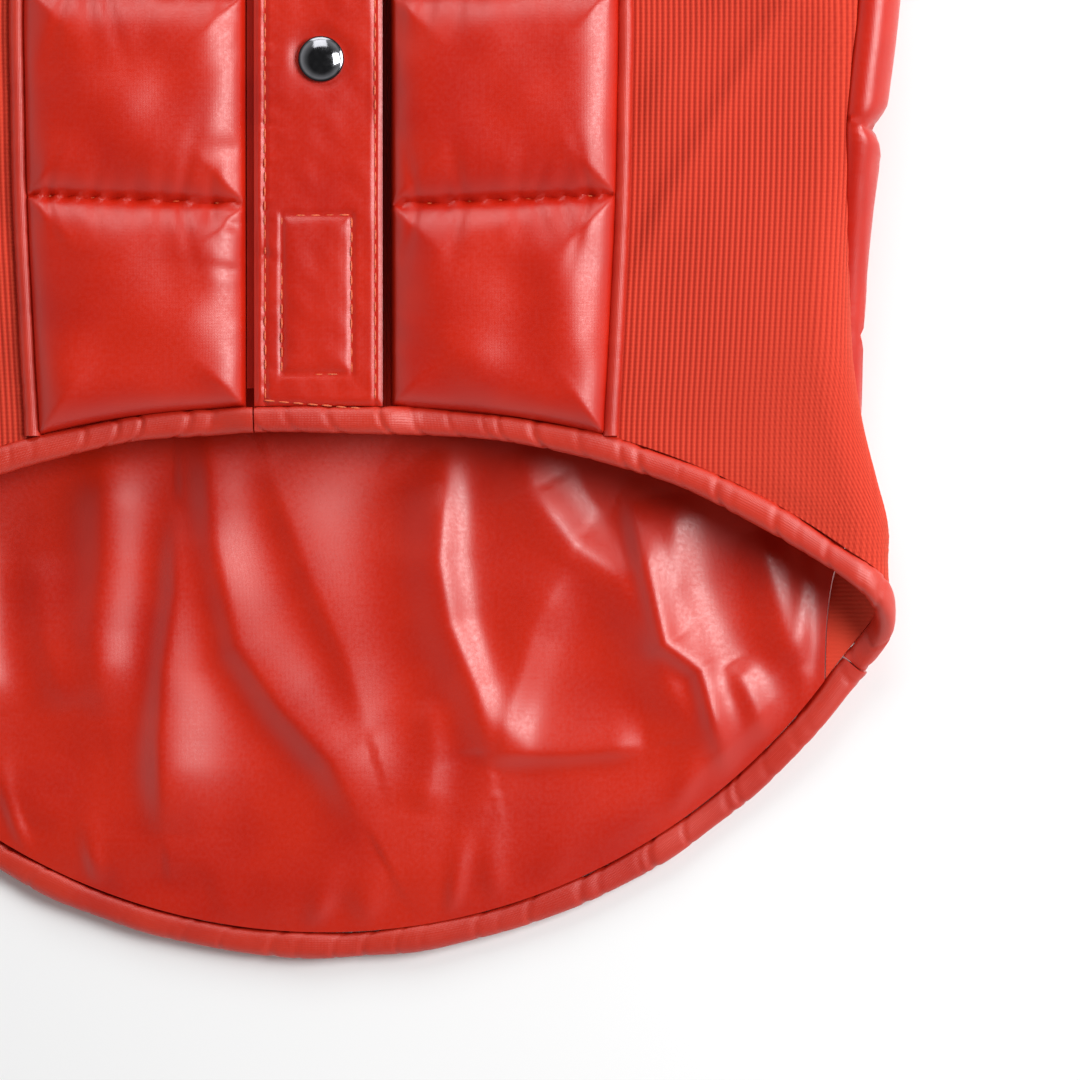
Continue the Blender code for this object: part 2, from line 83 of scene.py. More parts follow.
@dataclass
class Ripple:
    """Soft unevenness: a few long waves in seeded directions."""

    seed: int
    size: float
    waves: int = 9

    def at(self, x: Array, y: Array) -> Array:
        """Height between about -1 and 1 at each place."""
        draw = np.random.default_rng(self.seed)
        angle = draw.uniform(0, 2 * pi, self.waves)
        length = self.size * draw.uniform(0.7, 1.7, self.waves)
        phase = draw.uniform(0, 2 * pi, self.waves)
        total = np.zeros_like(x, dtype=float)
        for turn, wave, start in zip(angle, length, phase):
            total += np.sin(2 * pi * (np.cos(turn) * x + np.sin(turn) * y) / wave + start)
        return total / np.sqrt(self.waves * 0.9)


@dataclass
class Gathers:
    """Small tucks that start at a seam: each has its own place, width, reach, depth and lean."""

    seed: int
    start: float
    end: float
    pitch: float
    width: float
    reach: float
    depth: float
    lean: float = 0.35

    def at(self, along: Array, away: Array) -> Array:
        """Depth of the tucks.

        Args:
            along: Place along the seam.
            away: Distance from the seam.

        Returns:
            How far the cloth sinks, or rises where it is negative.
        """
        draw = np.random.default_rng(self.seed)
        count = max(2, int((self.end - self.start) / self.pitch))
        step = (self.end - self.start) / count
        total = np.zeros_like(along, dtype=float)
        away = np.maximum(away, 0.0)
        for index in range(count):
            middle = self.start + step * (index + draw.uniform(0.1, 0.9))
            width = self.width * draw.uniform(0.6, 1.5)
            reach = self.reach * draw.uniform(0.35, 1.6)
            depth = self.depth * draw.uniform(0.3, 1.4)
            lean = self.lean * draw.uniform(-1, 1)
            spread = width * (1 + 0.8 * away / reach)
            offset = (along - middle - lean * away) / spread
            total += depth * (1.25 - offset ** 2) * np.exp(-offset ** 2) * np.exp(-(away / reach) ** 1.5)
        return total


@dataclass(frozen=True)
class Station:
    """A section across the coat at y."""

    y: float
    half_width: float
    turn: float
    seam: float
    piping: float


STATIONS = (
    # y, half width inside the wall, radius of the side turn,
    # arc from the side line to the rib's outer seam, x of the piping beside the belly panel
    Station(0, 152.5, 9.0, 20.0, 76.0),
    Station(84, 152.5, 9.0, 20.0, 76.0),
    Station(105, 152.6, 9.0, 18.0, 77.0),
    Station(118, 152.7, 9.0, 13.0, 77.6),
    Station(131, 149.6, 9.2, 9.0, 78.0),
    Station(148, 145.4, 9.4, 5.0, 78.5),
    Station(164, 142.8, 9.6, 1.6, 79.4),
    Station(180, 142.0, 9.8, -1.0, 80.2),
    Station(196, 142.0, 10.0, -3.5, 81.0),
    Station(212, 143.2, 10.2, -6.5, 81.6),
    Station(229, 145.5, 10.4, -9.6, 81.9),
    Station(262, 149.5, 10.6, -10.6, 82.3),
    Station(290, 150.5, 10.8, -10.6, 81.0),
    Station(345, 146.0, 10.8, -10.6, 70.0),
    Station(395, 119.0, 10.4, -10.6, 58.0),
    Station(418, 102.0, 10.2, -10.6, 53.0),
    Station(431, 99.0, 10.0, -10.6, 52.0),
    Station(440, 99.0, 10.0, -10.6, 52.0),
)


@dataclass
class CoatWall:
    """The coat's wall: its sections, its lower edge, and the place of any point on it."""

    length: float = 440.0
    back_top: float = 8.0
    sag: float = 3.0
    tail_radius: float = 178.0
    belly_hem_y: float = 144.3
    hem_drop: float = 48.0
    hem_reach: float = 152.0
    hem_curve: float = 2.6
    tail_fall_depth: float = 3.6
    tail_fall_run: float = 24.0
    tail_fall_end: tuple[float, float] = (112.0, 140.0)
    binding_width: float = 7.2
    stations: tuple[Station, ...] = STATIONS

    def value(self, column: str, y: Array) -> Array:
        """A column of the stations at y, on a smooth curve through its rows."""
        ys = np.array([row.y for row in self.stations], float)
        values = np.array([getattr(row, column) for row in self.stations], float)
        slopes = np.empty_like(values)
        slopes[1:-1] = (values[2:] - values[:-2]) / (ys[2:] - ys[:-2])
        slopes[0] = (values[1] - values[0]) / (ys[1] - ys[0])
        slopes[-1] = (values[-1] - values[-2]) / (ys[-1] - ys[-2])
        y = np.clip(np.asarray(y, float), ys[0], ys[-1])
        index = np.clip(np.searchsorted(ys, y, side="right") - 1, 0, len(ys) - 2)
        run = ys[index + 1] - ys[index]
        return hermite((y - ys[index]) / run, values[index], values[index + 1],
                       slopes[index] * run, slopes[index + 1] * run)

    def flat(self, y: Array) -> Array:
        """Half width of the flat part of a section."""
        return self.value("half_width", y) - self.value("turn", y)

    def turned(self, y: Array) -> Array:
        """Arc where the side turn ends and the back begins."""
        return self.flat(y) + pi * self.value("turn", y)

    def girth(self, y: Array) -> Array:
        """Arc from the placket's line to the middle of the back."""
        return self.flat(y) + self.turned(y)

    def seam(self, y: Array) -> Array:
        """Arc of the seam between rib and back."""
        return self.flat(y) + pi * self.value("turn", y) / 2 + self.value("seam", y)

    def wrap(self, arc: Array, y: Array) -> Array:
        """An arc past the middle of the back as the negative arc of the left side."""
        girth = self.girth(y)
        return np.where(arc > girth, arc - 2 * girth, arc)

    def back_x(self, arc: Array, y: Array) -> Array:
        """x of a wrapped arc on the back."""
        return (self.girth(y) - np.abs(arc)) * np.sign(arc)

    def tail_edge(self, x: Array) -> Array:
        """y of the tail's outer edge."""
        reach = np.minimum(np.abs(x), self.tail_radius)
        return self.tail_radius - np.sqrt(self.tail_radius ** 2 - reach ** 2)

    def belly_edge(self, x: Array) -> Array:
        """y of the belly's outer edge."""
        return self.belly_hem_y - self.hem_drop * (np.abs(x) / self.hem_reach) ** self.hem_curve

    def edge(self, arc: Array, y: Array) -> Array:
        """y of the coat's lower edge at a wrapped arc, on the section at y."""
        arc = np.abs(arc)
        flat = self.flat(y)
        turn_length = self.turned(y) - flat
        belly_slope = self.belly_edge(flat + 0.5) - self.belly_edge(flat - 0.5)
        tail_slope = self.tail_edge(flat - 0.5) - self.tail_edge(flat + 0.5)
        share = np.clip((arc - flat) / turn_length, 0, 1)
        turning = hermite(share, self.belly_edge(flat), self.tail_edge(flat),
                          belly_slope * turn_length, tail_slope * turn_length)
        below = self.tail_edge(2 * flat + turn_length - arc)
        past = np.where(arc >= flat + turn_length, below, turning)
        return np.where(arc <= flat, self.belly_edge(arc), past)

    def edge_slope(self, arc: Array, y: Array) -> Array:
        """Rise of the lower edge for each step of the arc away from the placket."""
        return self.edge(np.abs(arc) + 0.5, y) - self.edge(np.abs(arc) - 0.5, y)

    def edge_inside(self, arc: Array, y: Array, inset: float) -> Array:
        """y of a line that runs inset from the lower edge, measured square to it."""
        arc = np.abs(arc)
        foot = arc
        for _ in range(6):
            slope = self.edge_slope(foot, y)
            foot = arc + slope * inset / np.sqrt(1 + slope ** 2)
        return self.edge(foot, y) + inset / np.sqrt(1 + self.edge_slope(foot, y) ** 2)

    def tail_fall(self, x: Array, y: Array) -> Array:
        """How far the tail's edge sinks below the level of the back."""
        slope = self.tail_edge(np.abs(x) + 0.5) - self.tail_edge(np.abs(x) - 0.5)
        from_edge = (y - self.tail_edge(x)) / np.sqrt(1 + slope ** 2)
        near = 1 - ease(from_edge, 0, self.tail_fall_run)
        return self.tail_fall_depth * near * (1 - ease(np.abs(x), *self.tail_fall_end))

    def point(self, arc: Array, y: Array, out: Array) -> Array:
        """Places in metres.

        Args:
            arc: Wrapped arcs.
            y: Distances from the tail end.
            out: Heights outside the wall's inner face.

        Returns:
            One row of x, y and z for each place.
        """
        arc, y, out = np.broadcast_arrays(*(np.asarray(each, float) for each in (arc, y, out)))
        side = np.where(arc >= 0, 1.0, -1.0)
        arc = np.abs(arc)
        turn = self.value("turn", y)
        flat = self.flat(y)
        angle = np.clip((arc - flat) / turn, 0, pi)
        sag = self.sag * 0.5 * (1 + np.cos(pi * np.minimum(arc / flat, 1)))
        back = 2 * flat + pi * turn - arc
        on_top = arc <= flat
        below = arc >= flat + pi * turn
        x = np.where(on_top, arc, np.where(below, back, flat + (turn + out) * np.sin(angle)))
        z = np.where(on_top, self.back_top + 2 * turn - sag + out,
                     np.where(below, self.back_top - self.tail_fall(back, y) - out,
                              self.back_top + turn + (turn + out) * np.cos(angle)))
        return np.stack([side * x * MM, (y - self.length / 2) * MM, z * MM], axis=-1)

    def normal(self, arc: Array, y: Array, out: Array) -> Array:
        """Unit rows that point out of the wall."""
        rise = self.point(arc, y, np.asarray(out) + 0.5) - self.point(arc, y, out)
        return rise / np.linalg.norm(rise, axis=-1, keepdims=True)


# ---------------------------------------------------------------- finishes

@dataclass(frozen=True)
class NylonFinish:
    """Glossy woven nylon: a deep colour, a broad shine and a fine plain weave."""

    name: str
    colour: tuple[float, float, float]
    deep: tuple[float, float, float]
    roughness: float
    weave: float
    weave_depth: float
    shine: float = 0.5

    def material(self) -> bpy.types.Material:
        """The finish as a material."""
        nodes = NodeSheet(self.name)
        nodes.shader.inputs["Specular IOR Level"].default_value = self.shine
        cloth = nodes.add("ShaderNodeUVMap")
        place = nodes.add("ShaderNodeTexCoord")
        tint = nodes.noise(place.outputs["Object"], 38.0, 3.0)
        nodes.mix_colour(tint.outputs["Fac"], self.deep, self.colour, 0.3, 0.62, "Base Color")
        grain = nodes.noise(cloth.outputs["UV"], 900.0, 2.0)
        nodes.spread_value(grain.outputs["Fac"], self.roughness - 0.045, self.roughness + 0.06, "Roughness")
        warp = nodes.wave(cloth.outputs["UV"], "X", self.weave)
        weft = nodes.wave(cloth.outputs["UV"], "Y", self.weave)
        crossed = nodes.math("MULTIPLY", warp.outputs["Fac"], weft.outputs["Fac"])
        rough = nodes.math("MULTIPLY_ADD", grain.outputs["Fac"], 0.55, crossed)
        nodes.bump(rough, self.weave_depth, 0.35)
        return nodes.finished


@dataclass(frozen=True)
class RibFinish:
    """Matte rib knit: painted shade in the grooves, a soft nap and fine courses across the ribs."""

    name: str
    colour: tuple[float, float, float]
    painted_groove_shade: tuple[float, float, float]
    course: float
    course_depth: float

    def material(self) -> bpy.types.Material:
        """The finish as a material."""
        nodes = NodeSheet(self.name)
        nodes.shader.inputs["Roughness"].default_value = 0.82
        nodes.shader.inputs["Specular IOR Level"].default_value = 0.25
        nodes.shader.inputs["Sheen Weight"].default_value = 0.22
        nodes.shader.inputs["Sheen Roughness"].default_value = 0.5
        nodes.shader.inputs["Sheen Tint"].default_value = (1.0, 0.5, 0.36, 1.0)
        cloth = nodes.add("ShaderNodeUVMap")
        # Painted shade: the rib height darkens the knit's colour towards the bottom of each groove.
        height = nodes.add("ShaderNodeAttribute")
        height.attribute_name = "rib"
        nodes.mix_colour(height.outputs["Fac"], self.painted_groove_shade, self.colour, 0.05, 0.75, "Base Color")
        courses = nodes.wave(cloth.outputs["UV"], "Y", self.course)
        fuzz = nodes.noise(cloth.outputs["UV"], 1400.0, 2.0)
        rough = nodes.math("MULTIPLY_ADD", fuzz.outputs["Fac"], 0.8, courses.outputs["Fac"])
        nodes.bump(rough, self.course_depth, 0.8)
        return nodes.finished


@dataclass(frozen=True)
class ThreadFinish:
    """Twisted polyester thread."""

    name: str
    colour: tuple[float, float, float]

    def material(self) -> bpy.types.Material:
        """The finish as a material."""
        nodes = NodeSheet(self.name)
        nodes.shader.inputs["Roughness"].default_value = 0.5
        nodes.shader.inputs["Sheen Weight"].default_value = 0.2
        place = nodes.add("ShaderNodeTexCoord")
        twist = nodes.noise(place.outputs["Object"], 2600.0, 1.0)
        deep = tuple(0.6 * part for part in self.colour)
        nodes.mix_colour(twist.outputs["Fac"], deep, self.colour, 0.35, 0.6, "Base Color")
        nodes.bump(twist.outputs["Fac"], 0.0001, 0.5)
        return nodes.finished


@dataclass(frozen=True)
class SteelFinish:
    """Polished dark plated steel with faint hairline wear."""

    name: str
    colour: tuple[float, float, float]

    def material(self) -> bpy.types.Material:
        """The finish as a material."""
        nodes = NodeSheet(self.name)
        nodes.shader.inputs["Metallic"].default_value = 1.0
        place = nodes.add("ShaderNodeTexCoord")
        haze = nodes.noise(place.outputs["Object"], 700.0, 3.0)
        bright = tuple(min(1.0, 1.2 * part) for part in self.colour)
        nodes.mix_colour(haze.outputs["Fac"], self.colour, bright, 0.3, 0.7, "Base Color")
        nodes.spread_value(haze.outputs["Fac"], 0.08, 0.17, "Roughness")
        return nodes.finished


class NodeSheet:
    """A new material and short ways to wire the nodes of cloth and metal."""

    def __init__(self, name: str) -> None:
        """Start a material with its shader."""
        self.finished = bpy.data.materials.new(name)
        self.finished.use_nodes = True
        self.tree = self.finished.node_tree
        self.shader = self.tree.nodes["Principled BSDF"]

    def add(self, kind: str) -> bpy.types.Node:
        """A new node."""
        return self.tree.nodes.new(kind)

    def noise(self, place: bpy.types.NodeSocket, scale: float, detail: float) -> bpy.types.Node:
        """A noise texture at a scale for each metre."""
        node = self.add("ShaderNodeTexNoise")
        node.inputs["Scale"].default_value = scale
        node.inputs["Detail"].default_value = detail
        self.tree.links.new(place, node.inputs["Vector"])
        return node

    def wave(self, place: bpy.types.NodeSocket, direction: str, pitch: float) -> bpy.types.Node:
        """Even sine bands with a pitch in metres."""
        node = self.add("ShaderNodeTexWave")
        node.bands_direction = direction
        node.wave_profile = "SIN"
        node.inputs["Scale"].default_value = 2 * pi / (20.0 * pitch)
        self.tree.links.new(place, node.inputs["Vector"])
        return node

    def math(self, operation: str, first: bpy.types.NodeSocket, second: float | bpy.types.NodeSocket,
             third: Optional[bpy.types.NodeSocket] = None) -> bpy.types.NodeSocket:
        """The result of a math node.

        Args:
            operation: The math node's operation.
            first: Its first input.
            second: Its second input, a number or a socket.
            third: Its third input, where it has one.

        Returns:
            The node's output.
        """
        node = self.add("ShaderNodeMath")
        node.operation = operation
        self.tree.links.new(first, node.inputs[0])
        if isinstance(second, float):
            node.inputs[1].default_value = second
        else:
            self.tree.links.new(second, node.inputs[1])
        if third is not None:
            self.tree.links.new(third, node.inputs[2])
        return node.outputs[0]

    def mix_colour(self, share: bpy.types.NodeSocket, low: Sequence[float], high: Sequence[float],
                   start: float, end: float, target: str) -> None:
        """Blend two colours by a varying share into one of the shader's inputs.

        Args:
            share: What drives the blend.
            low: Colour at and below start.
            high: Colour at and above end.
            start: Share where the blend begins.
            end: Share where it ends.
            target: Name of the shader's input.
        """
        ramp = self.add("ShaderNodeValToRGB")
        ramp.color_ramp.elements[0].position = start
        ramp.color_ramp.elements[0].color = (*low, 1.0)
        ramp.color_ramp.elements[1].position = end
        ramp.color_ramp.elements[1].color = (*high, 1.0)
        self.tree.links.new(share, ramp.inputs["Fac"])
        self.tree.links.new(ramp.outputs["Color"], self.shader.inputs[target])

    def spread_value(self, share: bpy.types.NodeSocket, low: float, high: float, target: str) -> None:
        """Drive a shader's number between two values by a varying share."""
        node = self.add("ShaderNodeMapRange")
        node.inputs["From Min"].default_value = 0.3
        node.inputs["From Max"].default_value = 0.7
        node.inputs["To Min"].default_value = low
        node.inputs["To Max"].default_value = high
        self.tree.links.new(share, node.inputs["Value"])
        self.tree.links.new(node.outputs["Result"], self.shader.inputs[target])

    def bump(self, height: bpy.types.NodeSocket, distance: float, strength: float) -> None:
        """Raise the surface by a varying height."""
        node = self.add("ShaderNodeBump")
        node.inputs["Strength"].default_value = strength
        node.inputs["Distance"].default_value = distance
        self.tree.links.new(height, node.inputs["Height"])
        self.tree.links.new(node.outputs["Normal"], self.shader.inputs["Normal"])


class Finish(Enum):
    """The coat's finishes, each with the record's slot that it belongs to."""

    SHELL = "shell_nylon"
    LINING = "lining_satin"
    RIB = "rib_knit"
    BINDING = "binding_nylon"
    THREAD = "thread"
    STEEL = "snap_steel"

    @property
    def slot(self) -> str:
        """The record's material slot."""
        return Finish.BINDING.value if self is Finish.THREAD else self.value

    def material(self) -> bpy.types.Material:
        """The finish's material, made once."""
        name = "finish_" + self.value
        found = bpy.data.materials.get(name)
        return found if found is not None else FINISHES[self](name).material()


FINISHES: dict[Finish, Callable[[str], object]] = {
    Finish.SHELL: lambda name: NylonFinish(name, (0.57, 0.016, 0.003), (0.49, 0.010, 0.002), 0.36, 0.00040,
                                           0.00003, 0.6),
    Finish.LINING: lambda name: NylonFinish(name, (0.58, 0.017, 0.003), (0.50, 0.011, 0.002), 0.36, 0.00036,
                                            0.00002, 0.65),
    # The rib's second colour is painted shade for the bottoms of its grooves.
    Finish.RIB: lambda name: RibFinish(name, (0.66, 0.050, 0.022), (0.40, 0.016, 0.006), 0.00115, 0.00007),
    Finish.BINDING: lambda name: NylonFinish(name, (0.58, 0.026, 0.008), (0.49, 0.015, 0.004), 0.42, 0.00040,
                                             0.00012, 0.7),
    Finish.THREAD: lambda name: ThreadFinish(name, (0.86, 0.15, 0.045)),
    Finish.STEEL: lambda name: SteelFinish(name, (0.20, 0.20, 0.215)),
}


# ---------------------------------------------------------------- making cloth

def dress(piece: bpy.types.Object, finish: Finish, *nodes: str) -> bpy.types.Object:
    """Give a piece its finish and its place on the coat.

    Args:
        piece: The finished piece.
        finish: Its finish.
        nodes: The CAD nodes that it stands for.

    Returns:
        The piece.
    """
    piece.data.materials.append(finish.material())
    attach(piece, "root")
    if nodes:
        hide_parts(*nodes)
    faces = len(piece.data.polygons)
    LOG.info("%s: %d faces, for %s", piece.name, faces, ", ".join(nodes) or "its own detail")
    return piece


def object_from(name: str, shape: bmesh.types.BMesh, sharp: float = 50.0) -> bpy.types.Object:
    """A smooth-shaded object whose faces point outwards.

    Args:
        name: The object's name.
        shape: The closed mesh, which is freed.
        sharp: Angle in degrees above which an edge stays sharp.

    Returns:
        The object.
    """
    if shape.calc_volume(signed=True) < 0:
        bmesh.ops.reverse_faces(shape, faces=shape.faces)
    mesh = bpy.data.meshes.new(name)
    shape.to_mesh(mesh)
    shape.free()
    mesh.shade_smooth()
    mesh.set_sharp_from_angle(angle=radians(sharp))
    piece = bpy.data.objects.new(name, mesh)
    bpy.context.scene.collection.objects.link(piece)
    return piece


def write_uv(mesh: bpy.types.Mesh, arc: Array, y: Array) -> None:
    """Lay the cloth's own measures, in metres, on the mesh as its UV map."""
    layer = mesh.uv_layers.new(name="cloth")
    corner = np.empty(len(mesh.loops), dtype=np.int32)
    mesh.loops.foreach_get("vertex_index", corner)
    both = np.stack([arc[corner], y[corner]], axis=-1) * MM
    layer.data.foreach_set("uv", both.astype(np.float32).ravel())


def write_attribute(mesh: bpy.types.Mesh, name: str, values: Array) -> None:
    """Store one number for each vertex."""
    layer = mesh.attributes.new(name, "FLOAT", "POINT")
    layer.data.foreach_set("value", values.astype(np.float32))


Height = Callable[[Array, Array, Array], Array]


@dataclass
class ClothStrip:
    """A closed strip of the wall: an outer face, an inner face and rims, on a fine grid."""

    name: str
    wall: CoatWall
    arcs: Callable[[Array], tuple[Array, Array]]
    across: Array
    along: Array
    top: float
    inset: float
    outer: Height
    inner: Height
    hole: Optional[Callable[[Array, Array], Array]] = None
    mark: Optional[Height] = None

    def starts(self) -> Array:
        """y of the lower end of each column."""
        start = np.full_like(self.across, 120.0)
        for _ in range(10):
            low, high = self.arcs(start)
            arc = self.wall.wrap(low + (high - low) * self.across, start)
            start = self.wall.edge_inside(arc, start, self.inset)
        return start

    def build(self) -> bpy.types.Object:
        """The strip as a closed, smooth object with its cloth measures as UV."""
        shape = bmesh.new()
        bmesh.ops.create_grid(shape, x_segments=len(self.across) - 1, y_segments=len(self.along) - 1, size=1)
        starts = self.starts()

        def measure(flat: Array) -> tuple[Array, Array, Array, Array]:
            column = np.rint((flat[:, 0] + 1) / 2 * (len(self.across) - 1)).astype(int)
            row = np.rint((flat[:, 1] + 1) / 2 * (len(self.along) - 1)).astype(int)
            y = starts[column] + (self.top - starts[column]) * self.along[row]
            low, high = self.arcs(y)
            arc = low + (high - low) * self.across[column]
            place = self.wall.wrap(arc, y)
            steep = np.sqrt(1 + self.wall.edge_slope(place, y) ** 2)
            to_edge = np.minimum(np.minimum(arc - low, high - arc),
                                 np.minimum((y - starts[column]) / steep, self.top - y))
            return place, y, to_edge, arc

        if self.hole is not None:
            centres = np.array([face.calc_center_median()[:] for face in shape.faces])
            faces = list(shape.faces)
            column = np.clip((centres[:, 0] + 1) / 2 * (len(self.across) - 1), 0, len(self.across) - 1.001)
            share = np.interp(column, np.arange(len(self.across)), self.across)
            start = np.interp(column, np.arange(len(self.across)), starts)
            row = (centres[:, 1] + 1) / 2 * (len(self.along) - 1)
            y = start + (self.top - start) * np.interp(row, np.arange(len(self.along)), self.along)
            low, high = self.arcs(y)
            inside = self.hole(low + (high - low) * share, y)
            cut = [face for face, gone in zip(faces, inside) if gone]
            bmesh.ops.delete(shape, geom=cut, context="FACES")
        lower = list(shape.faces)
        raised = bmesh.ops.extrude_face_region(shape, geom=lower, use_keep_orig=True)
        for vertex in raised["geom"]:
            if isinstance(vertex, bmesh.types.BMVert):
                vertex.co.z = 1.0
        flat = np.array([vertex.co[:] for vertex in shape.verts])
        outside = flat[:, 2] > 0.5
        arc, y, to_edge, cloth_arc = measure(flat)
        out = np.where(outside, self.outer(arc, y, to_edge), self.inner(arc, y, to_edge))
        places = self.wall.point(arc, y, out)
        for vertex, place in zip(shape.verts, places.tolist()):
            vertex.co = place
        bmesh.ops.recalc_face_normals(shape, faces=shape.faces)
        piece = object_from(self.name, shape)
        write_uv(piece.data, cloth_arc, y)
        if self.mark is not None:
            # The rib height, which the rib finish uses to paint shade into its grooves.
            write_attribute(piece.data, "rib", np.where(outside, self.mark(arc, y, to_edge), 1.0))
        return piece


@dataclass
class Course:
    """The line that a roll or a row of stitches follows: one number in each array for each step."""

    arc: Array
    y: Array
    lean_arc: Array
    lean_y: Array
    out: Array

    def shifted(self, across: float, rise: float) -> "Course":
        """The same course moved across itself and out of the wall."""
        return Course(self.arc + self.lean_arc * across, self.y + self.lean_y * across,
                      self.lean_arc, self.lean_y, self.out + rise)


Relief = Callable[[Array, Array], tuple[Array, Array]]


def level(height: float) -> Height:
    """A face that lies at one height all over."""
    return lambda arc, y, edge: np.full_like(arc, height)


def tucked(tucks: Gathers) -> Relief:
    """The relief of a roll drawn in by tucks all round."""
    return lambda run, angle: (-tucks.at(run, np.zeros_like(run)), np.ones_like(run))


def plain_relief(along: Array, angle: Array) -> tuple[Array, Array]:
    """A roll with no wrinkles."""
    return np.zeros_like(along), np.ones_like(along)


@dataclass
class ClothRoll:
    """A rolled edge or a piping: a tube of an oval section along a course."""

    name: str
    wall: CoatWall
    course: Course
    width: float
    height: float
    sides: int = 20
    closed: bool = False
    squareness: float = 0.75
    relief: Relief = plain_relief

    def build(self) -> bpy.types.Object:
        """The roll as a closed, smooth object."""
        spots = len(self.course.arc)
        steps = spots if self.closed else spots - 1
        tube = bmesh.new()
        bmesh.ops.create_grid(tube, x_segments=steps, y_segments=self.sides, size=1)
        flat = np.array([vertex.co[:] for vertex in tube.verts])
        spot = np.rint((flat[:, 0] + 1) / 2 * steps).astype(int) % spots
        ring = np.rint((flat[:, 1] + 1) / 2 * self.sides).astype(int)
        angle = (ring % self.sides) * 2 * pi / self.sides
        travel = self.travel()[spot]
        bulge, swell = self.relief(travel, angle)
        cosine, sine = np.cos(angle), np.sin(angle)
        across = np.sign(cosine) * np.abs(cosine) ** self.squareness * (self.width / 2 * swell + bulge)
        rise = np.sign(sine) * np.abs(sine) ** self.squareness * (self.height / 2 * swell + bulge)
        y = self.course.y[spot] + self.course.lean_y[spot] * across
        arc = self.wall.wrap(self.course.arc[spot] + self.course.lean_arc[spot] * across, y)
        places = self.wall.point(arc, y, self.course.out[spot] + rise)
        for vertex, place in zip(tube.verts, places.tolist()):
            vertex.co = place
        uv = tube.loops.layers.uv.new("cloth")
        tube.verts.index_update()
        around = ring * 2 * pi / self.sides * (self.width + self.height) / 4
        for face in tube.faces:
            for corner in face.loops:
                index = corner.vert.index
                corner[uv].uv = (travel[index] * MM, around[index] * MM)
        bmesh.ops.remove_doubles(tube, verts=tube.verts, dist=0.000002)
        rims = [edge for edge in tube.edges if edge.is_boundary]
        if rims:
            bmesh.ops.holes_fill(tube, edges=rims, sides=0)
        bmesh.ops.recalc_face_normals(tube, faces=tube.faces)
        return object_from(self.name, tube, 60.0)

    def travel(self) -> Array:
        """Distance along the course at each spot."""
        arc = self.wall.wrap(self.course.arc, self.course.y)
        places = self.wall.point(arc, self.course.y, self.course.out)
        steps = np.linalg.norm(np.diff(places, axis=0), axis=1) / MM
        return np.concatenate([[0.0], np.cumsum(steps)])


@dataclass
class StitchRow:
    """A row of machine stitches laid on a course."""

    course: Course
    length: float = 2.9
    gap: float = 1.0
    thickness: float = 0.5
    wander: float = 0.08


@dataclass
class Needlework:
    """All the thread of one sub-assembly, sewn as one piece."""

    name: str
    wall: CoatWall
    rows: list[StitchRow] = field(default_factory=list)
    sunk: float = 0.3

    def sew(self, row: StitchRow) -> None:
        """Add a row."""
        self.rows.append(row)

    def build(self) -> bpy.types.Object:
        """Every stitch as a short sunk bead, in one mesh."""
        thread = bmesh.new()
        draw = np.random.default_rng(len(self.rows) + 11)
        for row in self.rows:
            course = row.course
            arc = self.wall.wrap(course.arc, course.y)
            places = self.wall.point(arc, course.y, course.out)
            normals = self.wall.normal(arc, course.y, course.out)
            travel = np.concatenate([[0.0], np.cumsum(np.linalg.norm(np.diff(places, axis=0), axis=1))]) / MM
            start = row.gap / 2
            while start + row.length < travel[-1]:
                ends = [np.array([np.interp(start + shift, travel, places[:, axis]) for axis in range(3)])
                        for shift in (0.0, row.length)]
                halfway = start + row.length / 2
                up = Vector([np.interp(halfway, travel, normals[:, axis]) for axis in range(3)])
                run = Vector(ends[1] - ends[0])
                side = up.cross(run).normalized()
                middle = Vector((ends[0] + ends[1]) / 2)
                middle += side * draw.uniform(-1, 1) * row.wander * MM
                middle += up.normalized() * row.thickness * (0.5 - self.sunk) * MM
                turn = Matrix((run.normalized(), side, run.normalized().cross(side))).transposed().to_4x4()
                half = Matrix.Diagonal((run.length / 2, row.thickness * MM / 2, row.thickness * MM / 2, 1.0))
                bmesh.ops.create_uvsphere(thread, u_segments=6, v_segments=5, radius=1.0,
                                          matrix=Matrix.Translation(middle) @ turn @ half @ Matrix.Rotation(
                                              pi / 2, 4, "Y"))
                start += row.length + row.gap
        bmesh.ops.recalc_face_normals(thread, faces=thread.faces)
        return object_from(self.name, thread, 180.0)


# ---------------------------------------------------------------- the coat's parts

@dataclass(frozen=True)
class Fold:
    """A fold of the lining: a crest through places on the back, steeper on one side."""

    crest: tuple[tuple[float, float], ...]
    left: float
    right: float
    height: float
    spread: float = 1.25

    def at(self, x: Array, y: Array) -> Array:
        """Height of the fold at each place."""
        nearest = np.full_like(x, 1e9)
        side = np.zeros_like(x)
        travelled = np.zeros_like(x)
        total = 0.0
        for (ax, ay), (bx, by) in zip(self.crest, self.crest[1:]):
            run = np.hypot(bx - ax, by - ay)
            share = np.clip(((x - ax) * (bx - ax) + (y - ay) * (by - ay)) / run ** 2, 0, 1)
            distance = np.hypot(x - ax - share * (bx - ax), y - ay - share * (by - ay))
            closer = distance < nearest
            nearest = np.where(closer, distance, nearest)
            side = np.where(closer, np.sign((x - ax) * (ay - by) + (y - ay) * (bx - ax)), side)
            travelled = np.where(closer, total + share * run, travelled)
            total += run
        width = np.where(side > 0, self.left, self.right) * self.spread
        fade = ease(travelled, -0.1 * total, 0.22 * total) * (1 - ease(travelled, 0.78 * total, 1.1 * total))
        return self.height * fade * np.exp(-(nearest / width) ** 1.7)


